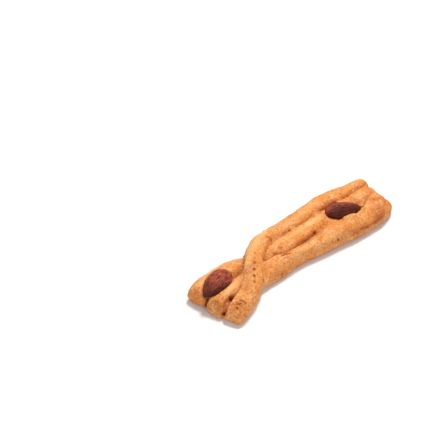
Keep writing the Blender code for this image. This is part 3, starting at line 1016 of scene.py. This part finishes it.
def scatter_tree(material):
    """Geometry tree that scatters rough lumps on the dough and on the marked points it is given."""
    tree, size = new_geometry_tree("scatter", SCATTER_SIZES)

    def is_over(value, least):
        return maths(tree, "GREATER_THAN", value, least)

    def another(low, high, offset):
        """A draw of its own for each grain."""
        return drawn(tree, low, high, maths(tree, "ADD", size["Seed"], offset))

    height, upward = (parts(tree, given(tree, kind))["Z"] for kind in ("Position", "Normal"))
    can_lie = (is_over(height, size["Lowest"]), is_over(named(tree, "free"), OPEN_CRUST))
    spread = add(tree, "GeometryNodeDistributePointsOnFaces", {
        "Mesh": add(tree, "GeometryNodeObjectInfo", {"Object": dough}).outputs["Geometry"],
        "Selection": times(tree, *can_lie, is_over(upward, LEAST_UPWARD)),
        "Density": size["Density"],
        "Seed": size["Seed"],
    }).outputs
    span = minus(tree, size["Largest"], size["Smallest"])
    share = maths(tree, "POWER", drawn(tree, 0.0, 1.0, size["Seed"]), MOSTLY_SMALL)
    radius = maths(tree, "MULTIPLY_ADD", share, span, size["Smallest"])
    points = keep(tree, spread["Points"], "radius_of", radius)
    points = keep(tree, points, "facing", spread["Normal"], "FLOAT_VECTOR")
    marked = add(tree, "GeometryNodeMeshToPoints", {"Mesh": size["Geometry"]}).outputs[0]
    both = add(tree, "GeometryNodeJoinGeometry", {0: points})
    tree.links.new(marked, both.inputs[0])

    # each point gets a ball, flattened and stretched by its own draw and sunk a little into the crust
    facing, radius = named(tree, "facing", "FLOAT_VECTOR"), named(tree, "radius_of")
    down = times(tree, radius, size["Sunk"], -1.0)
    flat = times(tree, radius, size["Flatness"])
    placed = add(tree, "GeometryNodeInstanceOnPoints", {
        "Points": moved(tree, both.outputs[0], Offset=scaled(tree, facing, down)),
        "Instance": add(tree, "GeometryNodeMeshIcoSphere", {"Radius": 1.0, "Subdivisions": 2}).outputs[0],
        "Rotation": add(tree, "FunctionNodeAlignRotationToVector", {"Vector": facing}, axis="Z").outputs[0],
        "Scale": vector(tree, times(tree, radius, another(*STRETCH, 7)), radius, flat),
    }).outputs[0]
    spin = vector(tree, 0.0, 0.0, another(-HALF_TURN, HALF_TURN, 3))
    spun = add(tree, "GeometryNodeRotateInstances", {"Instances": placed, "Rotation": spin}).outputs[0]
    toned = keep(tree, spun, "tone", another(0.0, 1.0, 5), domain="INSTANCE")
    real = add(tree, "GeometryNodeRealizeInstances", {"Geometry": toned}).outputs[0]

    dents = texture(tree, given(tree, "Position"), 1 / DENT_SIZE, 2.0, output=1)
    reach = times(tree, size["Roughness"], times(tree, size["Largest"], DENT_GAIN))
    shove = scaled(tree, vector_maths(tree, "SUBTRACT", dents, (0.5, 0.5, 0.5)), reach)
    return close_tree(tree, moved(tree, real, Offset=shove), material)

# %% Where the picture shows specks
PEPPER_SEEN = (  # across and down the picture, then radius in mm
    (293.3, 220.5, 0.38), (261.9, 255.4, 0.30), (263.7, 246.4, 0.22),
    (289.6, 247.4, 0.30), (284.7, 257.6, 0.30), (361.5, 193, 0.32), (373.6, 199.6, 0.38),
    (360.1, 215.6, 0.34), (353.5, 234.9, 0.38), (325.3, 243.3, 0.34), (340.6, 188.4, 0.32),
    (330, 190.7, 0.26), (325, 203.5, 0.24), (338, 226.5, 0.26), (338.4, 240, 0.46),
    (282.6, 273.8, 0.42), (282.8, 276.6, 0.34), (292.8, 234, 0.34), (296, 252.5, 0.26),
    (253, 295, 0.30), (237.2, 308.4, 0.30), (266, 244, 0.22), (313.5, 224.5, 0.26),
)
CHIPS_SEEN = (
    (339.4, 232.9, 0.55), (372.7, 225.4, 0.60), (352.1, 237.7, 0.85), (350.5, 238.7, 0.60),
    (386.8, 202.4, 0.60), (284.4, 226.5, 0.38), (291.5, 227.1, 0.38), (293.4, 230.5, 0.55),
    (261.6, 250.5, 0.50), (257.8, 282.2, 0.45), (268.5, 264, 0.42), (212.8, 305.2, 0.60),
    (212.4, 308, 0.65), (213.8, 310.8, 0.55), (209.8, 307.6, 0.45), (238.5, 288.5, 0.42),
    (250, 312, 0.40), (252.3, 287.4, 0.40), (360.2, 209, 0.38), (331.3, 227.6, 0.38),
    (219, 313.2, 0.40), (190.8, 297, 0.45),
)


def marked_points(name, seen):
    """A mesh of points on the dough where the picture shows specks, with each one's radius and facing."""
    spots, facings = zip(*(on_dough(across, down) for across, down, _ in seen))
    mesh = bpy.data.meshes.new(name)
    mesh.from_pydata(list(spots), [], [])
    store(mesh, "radius_of", np.array([radius * MM for *_, radius in seen]))
    facing = mesh.attributes.new("facing", "FLOAT_VECTOR", "POINT")
    facing.data.foreach_set("vector", np.array(facings, np.float32).ravel())
    print(name, "placed by the picture:", len(spots))
    return new_piece(name, mesh)


dough_search = tree_of(dough)
pepper = marked_points("pepper", PEPPER_SEEN)
grow(
    pepper, scatter_tree(pepper_skin),
    smallest=0.12 * MM, largest=0.36 * MM, density=9000.0, flatness=0.4, seed=11,
)
chips = marked_points("chips", CHIPS_SEEN)
grow(
    chips, scatter_tree(chip_flesh),
    smallest=0.20 * MM, largest=0.62 * MM, density=6000.0, flatness=0.45, seed=23,
)
for piece in (dough, pepper, chips, *nuts.values()):
    print(piece.name, sum(len(face.vertices) - 2 for face in piece.data.polygons), "triangles")

# %% [markdown]
# ## Effects that several materials share
#
# Three effects are used again and again here: soft mottling, freckles and a fine grain. Each is one
# shader group with named inputs, placed in a material with its own values. The groups put out only
# masks and heights; the shaders themselves stay in the materials.

# %% Colours
def paint(red, green, blue):
    """A colour as read off a screen, 0 to 255, as the linear colour that a shader takes."""
    def linear(value):
        value /= 255
        return value / 12.92 if value <= 0.04045 else ((value + 0.055) / 1.055) ** 2.4
    return linear(red), linear(green), linear(blue), 1.0

# %% Shader groups
RAGGED = 0.5  # how far the edge of a freckle wanders, as a share of the spacing
WANDERS = 3.0  # times in each spacing
FRECKLE_SPAN, LEAST_FRECKLE = 0.8, 0.5  # a freckle's radius is drawn from the least to the least and the span
FRECKLE_CORE = 0.25  # the share of a freckle's radius that is full


def new_group(name, sizes, output):
    """A shader group with float inputs, a Vector input and one output; returns it and its inputs."""
    group = bpy.data.node_groups.new(name, "ShaderNodeTree")
    group.interface.new_socket("Vector", in_out="INPUT", socket_type="NodeSocketVector")
    for label, value in sizes.items():
        group.interface.new_socket(label, in_out="INPUT", socket_type="NodeSocketFloat").default_value = value
    group.interface.new_socket(output, in_out="OUTPUT", socket_type="NodeSocketFloat")
    return group, add(group, "NodeGroupInput").outputs


def close_group(group, **output):
    """Ends a shader group with its one output."""
    add(group, "NodeGroupOutput", output)
    return group


def mottle_group():
    """Soft blotches of a size: 0 where the noise is under Low, 1 where it is over High."""
    group, size = new_group("mottle", {"Size": MM, "Low": 0.4, "High": 0.6, "Detail": 2.0}, "Mask")
    value = noise(group, size["Vector"], size["Size"], size["Detail"], 0.55)
    return close_group(group, Mask=remap(group, value, size["Low"], size["High"]))


def freckle_group():
    """Ragged specks: one in each cell of the given spacing, for a share of the cells."""
    group, size = new_group("freckles", {"Spacing": MM, "Share": 0.2, "Radius": 0.2}, "Mask")
    scale = maths(group, "DIVIDE", 1.0, size["Spacing"])
    wobble = texture(group, size["Vector"], times(group, scale, WANDERS), 2.0, output=1)
    wobble = vector_maths(group, "MULTIPLY_ADD", wobble, (RAGGED,) * 3, (-RAGGED / 2,) * 3)
    spot = vector_maths(group, "MULTIPLY_ADD", size["Vector"], vector(group, scale, scale, scale), wobble)
    cells = add(group, "ShaderNodeTexVoronoi", {"Vector": spot, "Scale": 1.0}, feature="F1").outputs
    draws = add(group, "ShaderNodeSeparateColor", {0: cells["Color"]}).outputs
    chosen = maths(group, "LESS_THAN", draws[0], size["Share"])
    reach = times(group, size["Radius"], maths(group, "MULTIPLY_ADD", draws[1], FRECKLE_SPAN, LEAST_FRECKLE))
    freckle = remap(group, cells["Distance"], times(group, reach, FRECKLE_CORE), reach, 1.0, 0.0)
    return close_group(group, Mask=times(group, freckle, chosen))


def grain_group():
    """The height of a fine grain: soft noise with small crumbs in it."""
    group, size = new_group("fine_grain", {"Size": 0.4 * MM, "Crumbs": 0.4}, "Height")
    soft = noise(group, size["Vector"], size["Size"], 3.0, 0.6)
    inputs = {"Vector": size["Vector"], "Scale": maths(group, "DIVIDE", 0.7, size["Size"])}
    cells = add(group, "ShaderNodeTexVoronoi", inputs, feature="SMOOTH_F1").outputs
    crumbs = times(group, minus(group, 0.6, cells["Distance"]), size["Crumbs"])
    return close_group(group, Height=maths(group, "ADD", soft, crumbs))


mottle, freckles, fine_grain = mottle_group(), freckle_group(), grain_group()

# %% Tools for materials
def use(tree, group, place, **values):
    """The output of a shared group, placed in a material with its own values."""
    inputs = {"Vector": place, **{name.title(): value for name, value in values.items()}}
    return add(tree, "ShaderNodeGroup", inputs, node_tree=group).outputs[0]


def blend(tree, share, first, second):
    """Two colours mixed by a share, which is a number or a socket."""
    return add(tree, "ShaderNodeMix", {0: share, 6: first, 7: second}, data_type="RGBA").outputs[2]


def layered(tree, tone, layers):
    """A colour with others laid over it in turn, each by its mask times its strength."""
    for mask, strength, colour in layers:
        tone = blend(tree, times(tree, mask, strength), tone, colour)
    return tone


def attribute(tree, name, output="Fac"):
    """A named attribute of the mesh as a number, or as its Vector."""
    return add(tree, "ShaderNodeAttribute", attribute_name=name).outputs[output]


def start(material):
    """A material's tree, its Principled shader and its Object coordinates."""
    material.use_nodes = True
    tree = material.node_tree
    return tree, tree.nodes["Principled BSDF"], add(tree, "ShaderNodeTexCoord").outputs["Object"]


def bump(tree, height, distance, **normal):
    """The normal of a bump of a real height, on top of another bump if one is given as Normal."""
    inputs = {"Height": height, "Distance": distance, "Strength": 1.0, **normal}
    return add(tree, "ShaderNodeBump", inputs).outputs[0]

# %% [markdown]
# ## Crust
#
# The crust is a matte golden tan. It is never one colour: blotches of a few millimetres, browner low by
# the tray, with pale flour freckles and fine dark ones. Painted shade darkens the hollows, creases, folds,
# sideways flanks and the line along each almond, and listed patches hold painted light and shade beside
# real browning. The order matters. The broad tones come first, then what the surface's form says, then the
# freckles, and the dark of pits and cracks last. A little light passes under the surface, as it does in baked
# dough.

# %% Crust material
CRUST_PALE = paint(250, 195, 131)
CRUST_GOLD = paint(234, 152, 72)
CRUST_BROWN = paint(186, 92, 25)
CRUST_DEEP = paint(112, 46, 16)
FLOUR = paint(252, 210, 152)
PEPPER_DUST = paint(126, 66, 38)

tree, shader, place = start(crust)
spread = use(tree, mottle, place, size=1.7 * MM, low=0.42, high=0.75, detail=3.0)
sand = use(tree, mottle, place, size=1.0 * MM, low=0.40, high=0.66, detail=1.0)
baked = use(tree, mottle, place, size=6 * MM, low=0.20, high=0.55)
loose = use(tree, mottle, place, size=1.2 * MM, low=0.36, high=0.60)
browning_and_painted_shade, pit_colour_and_shade = attribute(tree, "browning_and_painted_light"), attribute(tree, "pit_colour_and_painted_shade")
tone = layered(tree, CRUST_GOLD, (  # in order, each a mask, its strength and the colour that it brings
    (use(tree, mottle, place, size=7 * MM, low=0.35, high=0.65), 0.50, CRUST_PALE),
    (spread, 0.26, CRUST_BROWN),
    (sand, 0.50, CRUST_BROWN),
    # painted light and shade from the listed patches: paler where light falls, browner where shade falls or
    # the crust browned
    (remap(tree, browning_and_painted_shade, 0.0, -1.0, kind="LINEAR"), 0.80, CRUST_PALE),
    (remap(tree, browning_and_painted_shade, 0.0, 1.0, kind="LINEAR"), baked, CRUST_BROWN),
    # painted shade: browner in the broad hollows
    (remap(tree, attribute(tree, "hollow"), 0.2, 1.6), 0.25, CRUST_BROWN),
    # painted shade along the folds, together with browner crust in them
    (remap(tree, attribute(tree, "folded"), 0.05, 0.75), 0.75, CRUST_BROWN),
    (remap(tree, parts(tree, place)["Z"], 3.0 * MM, 0.0), 0.15, CRUST_BROWN),
    # painted shade: flanks that face sideways or down are painted browner
    (remap(tree, attribute(tree, "upward"), 0.75, 0.0), 0.15, CRUST_BROWN),
    (times(tree, loose, attribute(tree, "crumbly")), 0.30, CRUST_BROWN),
    # painted contact shadow along each almond
    (attribute(tree, "contact_shade"), 0.45, CRUST_DEEP),
    # painted shade: darker in the fine creases
    (remap(tree, attribute(tree, "crease"), 0.6, 3.2), 0.55, CRUST_DEEP),
    (use(tree, freckles, place, spacing=1.4 * MM, share=0.32, radius=0.32), 0.72, FLOUR),
    (use(tree, freckles, place, spacing=1.6 * MM, share=0.36, radius=0.23), 0.75, PEPPER_DUST),
    # pits and cracks: their own brown, and painted shade in the deeper holes
    (remap(tree, pit_colour_and_shade, 0.05, 0.5), 0.85, CRUST_BROWN),
    (remap(tree, pit_colour_and_shade, 0.4, 1.0), 0.90, CRUST_DEEP),
))
coarse = bump(tree, use(tree, fine_grain, place, size=1.2 * MM, crumbs=0.4), 0.66 * MM)
join(tree, shader, {
    "Base Color": tone,
    "Roughness": remap(tree, spread, 0.0, 1.0, 0.58, 0.74),
    "Specular IOR Level": 0.35,
    "Subsurface Weight": 0.25,
    "Subsurface Radius": (1.0, 0.45, 0.2),
    "Subsurface Scale": 0.7 * MM,
    "Normal": bump(tree, use(tree, fine_grain, place, size=0.45 * MM, crumbs=0.3), 0.10 * MM, Normal=coarse),
})

# %% [markdown]
# ## Almond skin
#
# The skin is a thin dry film, reddish brown, darker down in its furrows, with paler dust on the
# ridges. Painted shade darkens its rim and the side turned from the light. Its streaks must bend with
# the almond, so they read the attribute `grain`, the almond's own coordinates, and not the object's.

# %% Almond skin material
SKIN_RED = paint(112, 37, 24)
SKIN_LIGHT = paint(208, 104, 74)
SKIN_DARK = paint(46, 13, 8)
STREAK_SCALE = 2.6
TIP = (0.74, 0.97)  # the shares of the length between which the streaks die out towards the point

tree, shader, place = start(almond_skin)
streak = texture(tree, attribute(tree, "grain", "Vector"), STREAK_SCALE, 3.0, 0.55)
at_tip = remap(tree, attribute(tree, "share"), *TIP)
streak = maths(tree, "MULTIPLY_ADD", minus(tree, 0.5, streak), at_tip, streak)
tone = layered(tree, blend(tree, remap(tree, streak, 0.25, 0.75), SKIN_RED, SKIN_LIGHT), (
    (use(tree, mottle, place, size=3 * MM, low=0.45, high=0.75), 0.40, SKIN_DARK),
    (attribute(tree, "furrow"), 0.36, SKIN_DARK),
))
ripple = bump(tree, streak, 0.07 * MM)
join(tree, shader, {
    # painted shade on the rim and the shaded side, plus a little darkening all over by each almond's own
    # roast
    "Base Color": blend(tree, remap(tree, attribute(tree, "roast_and_painted_shade"), 0.0, 1.0, 0.0, 0.80), tone, SKIN_DARK),
    "Roughness": remap(tree, streak, 0.3, 0.7, 0.62, 0.45),
    "Specular IOR Level": 0.11,
    "Normal": bump(tree, use(tree, fine_grain, place, size=0.25 * MM, crumbs=0.3), 0.03 * MM, Normal=ripple),
})

# %% [markdown]
# ## Pepper and almond chips
#
# Ground pepper runs from nearly black shell to red-brown flecks. The almond chips are pale flesh that
# the oven has toasted at the edges. The attribute `tone`, drawn once for each grain, sets where in
# its range a grain lies, so that no two neighbours match.

# %% Pepper and chip materials
PEPPER_BLACK, PEPPER_RED = paint(56, 25, 15), paint(138, 70, 36)
CHIP_PALE, CHIP_TOAST = paint(245, 201, 139), paint(222, 150, 88)
BLOTCH_SHARE, DRAW_SHARE = 0.4, 0.6  # what blotches and a grain's own draw each add to its colour
ROUGHNESS_SPAN = 0.08  # to each side


def grain_material(material, first, second, roughness, relief):
    """A rough grain whose colour lies between two, by its own draw and by fine blotches."""
    tree, shader, place = start(material)
    blotch = use(tree, mottle, place, size=0.6 * MM, low=0.35, high=0.7)
    draw = times(tree, attribute(tree, "tone"), DRAW_SHARE)
    share = maths(tree, "MULTIPLY_ADD", blotch, BLOTCH_SHARE, draw)
    smoothest, roughest = roughness - ROUGHNESS_SPAN, roughness + ROUGHNESS_SPAN
    join(tree, shader, {
        "Base Color": blend(tree, share, first, second),
        "Roughness": remap(tree, blotch, 0.0, 1.0, smoothest, roughest),
        "Specular IOR Level": 0.15,
        "Normal": bump(tree, use(tree, fine_grain, place, size=0.2 * MM, crumbs=0.5), relief),
    })


grain_material(pepper_skin, PEPPER_BLACK, PEPPER_RED, 0.6, 0.04 * MM)
grain_material(chip_flesh, CHIP_PALE, CHIP_TOAST, 0.65, 0.03 * MM)

# %% Hand the pieces to the frame
for piece in (dough, pepper, chips, *nuts.values()):
    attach(piece, BODY)
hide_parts("braid")
for node, nut in nuts.items():
    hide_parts(node)

# %% [markdown]
# ## Stage and light
#
# A pale floor and soft light from high up behind the biscuit and a little to the right, as a large
# window would give. A weak, wide lamp on the camera's side keeps the near flanks warm.

# %% Floor, lights and world
FLOOR_GREY, FLOOR_ROUGHNESS = 0.90, 0.8
FLOOR_HALF = 2  # metres from the middle to each side
FLOOR_DROP = 0.05 * MM  # how far it lies under the tray's plane
LAMPS = {  # right, forward and up from the aim, side length, all in metres, then watts
    "window": ((0.13, 0.29, 0.78), 0.26, 6.6),
    "fill": ((0.10, -0.60, 0.40), 0.50, 1.5),
}
SKY = 0.345

floor = new_piece("floor")
corners = [(x * FLOOR_HALF, y * FLOOR_HALF, -FLOOR_DROP) for x, y in ((-1, -1), (1, -1), (1, 1), (-1, 1))]
floor.data.from_pydata(corners, [], [(0, 1, 2, 3)])
floor_paint = bpy.data.materials.new("floor")
floor_tree, floor_shader, _ = start(floor_paint)
floor_colour = (FLOOR_GREY, FLOOR_GREY, FLOOR_GREY, 1)
join(floor_tree, floor_shader, {"Base Color": floor_colour, "Roughness": FLOOR_ROUGHNESS})
floor.data.materials.append(floor_paint)
floor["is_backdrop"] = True

for name, ((to_right, ahead, high), side, watts) in LAMPS.items():
    lamp = bpy.data.objects.new(name, bpy.data.lights.new(name, "AREA"))
    lamp.data.size, lamp.data.energy = side, watts
    lamp.location = CAMERA_AIM + right * to_right + forward * ahead + Vector((0, 0, high))
    lamp.rotation_mode = "QUATERNION"
    lamp.rotation_quaternion = (CAMERA_AIM - lamp.location).to_track_quat("-Z", "Y")
    bpy.context.scene.collection.objects.link(lamp)

world = bpy.data.worlds.new("sky")
world.use_nodes = True
join(world.node_tree, world.node_tree.nodes["Background"], {"Color": (1, 1, 1, 1), "Strength": SKY})
bpy.context.scene.world = world
bpy.context.scene.view_settings.view_transform = "Standard"

# %% Measure the visual box and finish
low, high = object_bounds()
print("visual box, mm:", [round(1000 * (b - a), 1) for a, b in zip(low, high)])
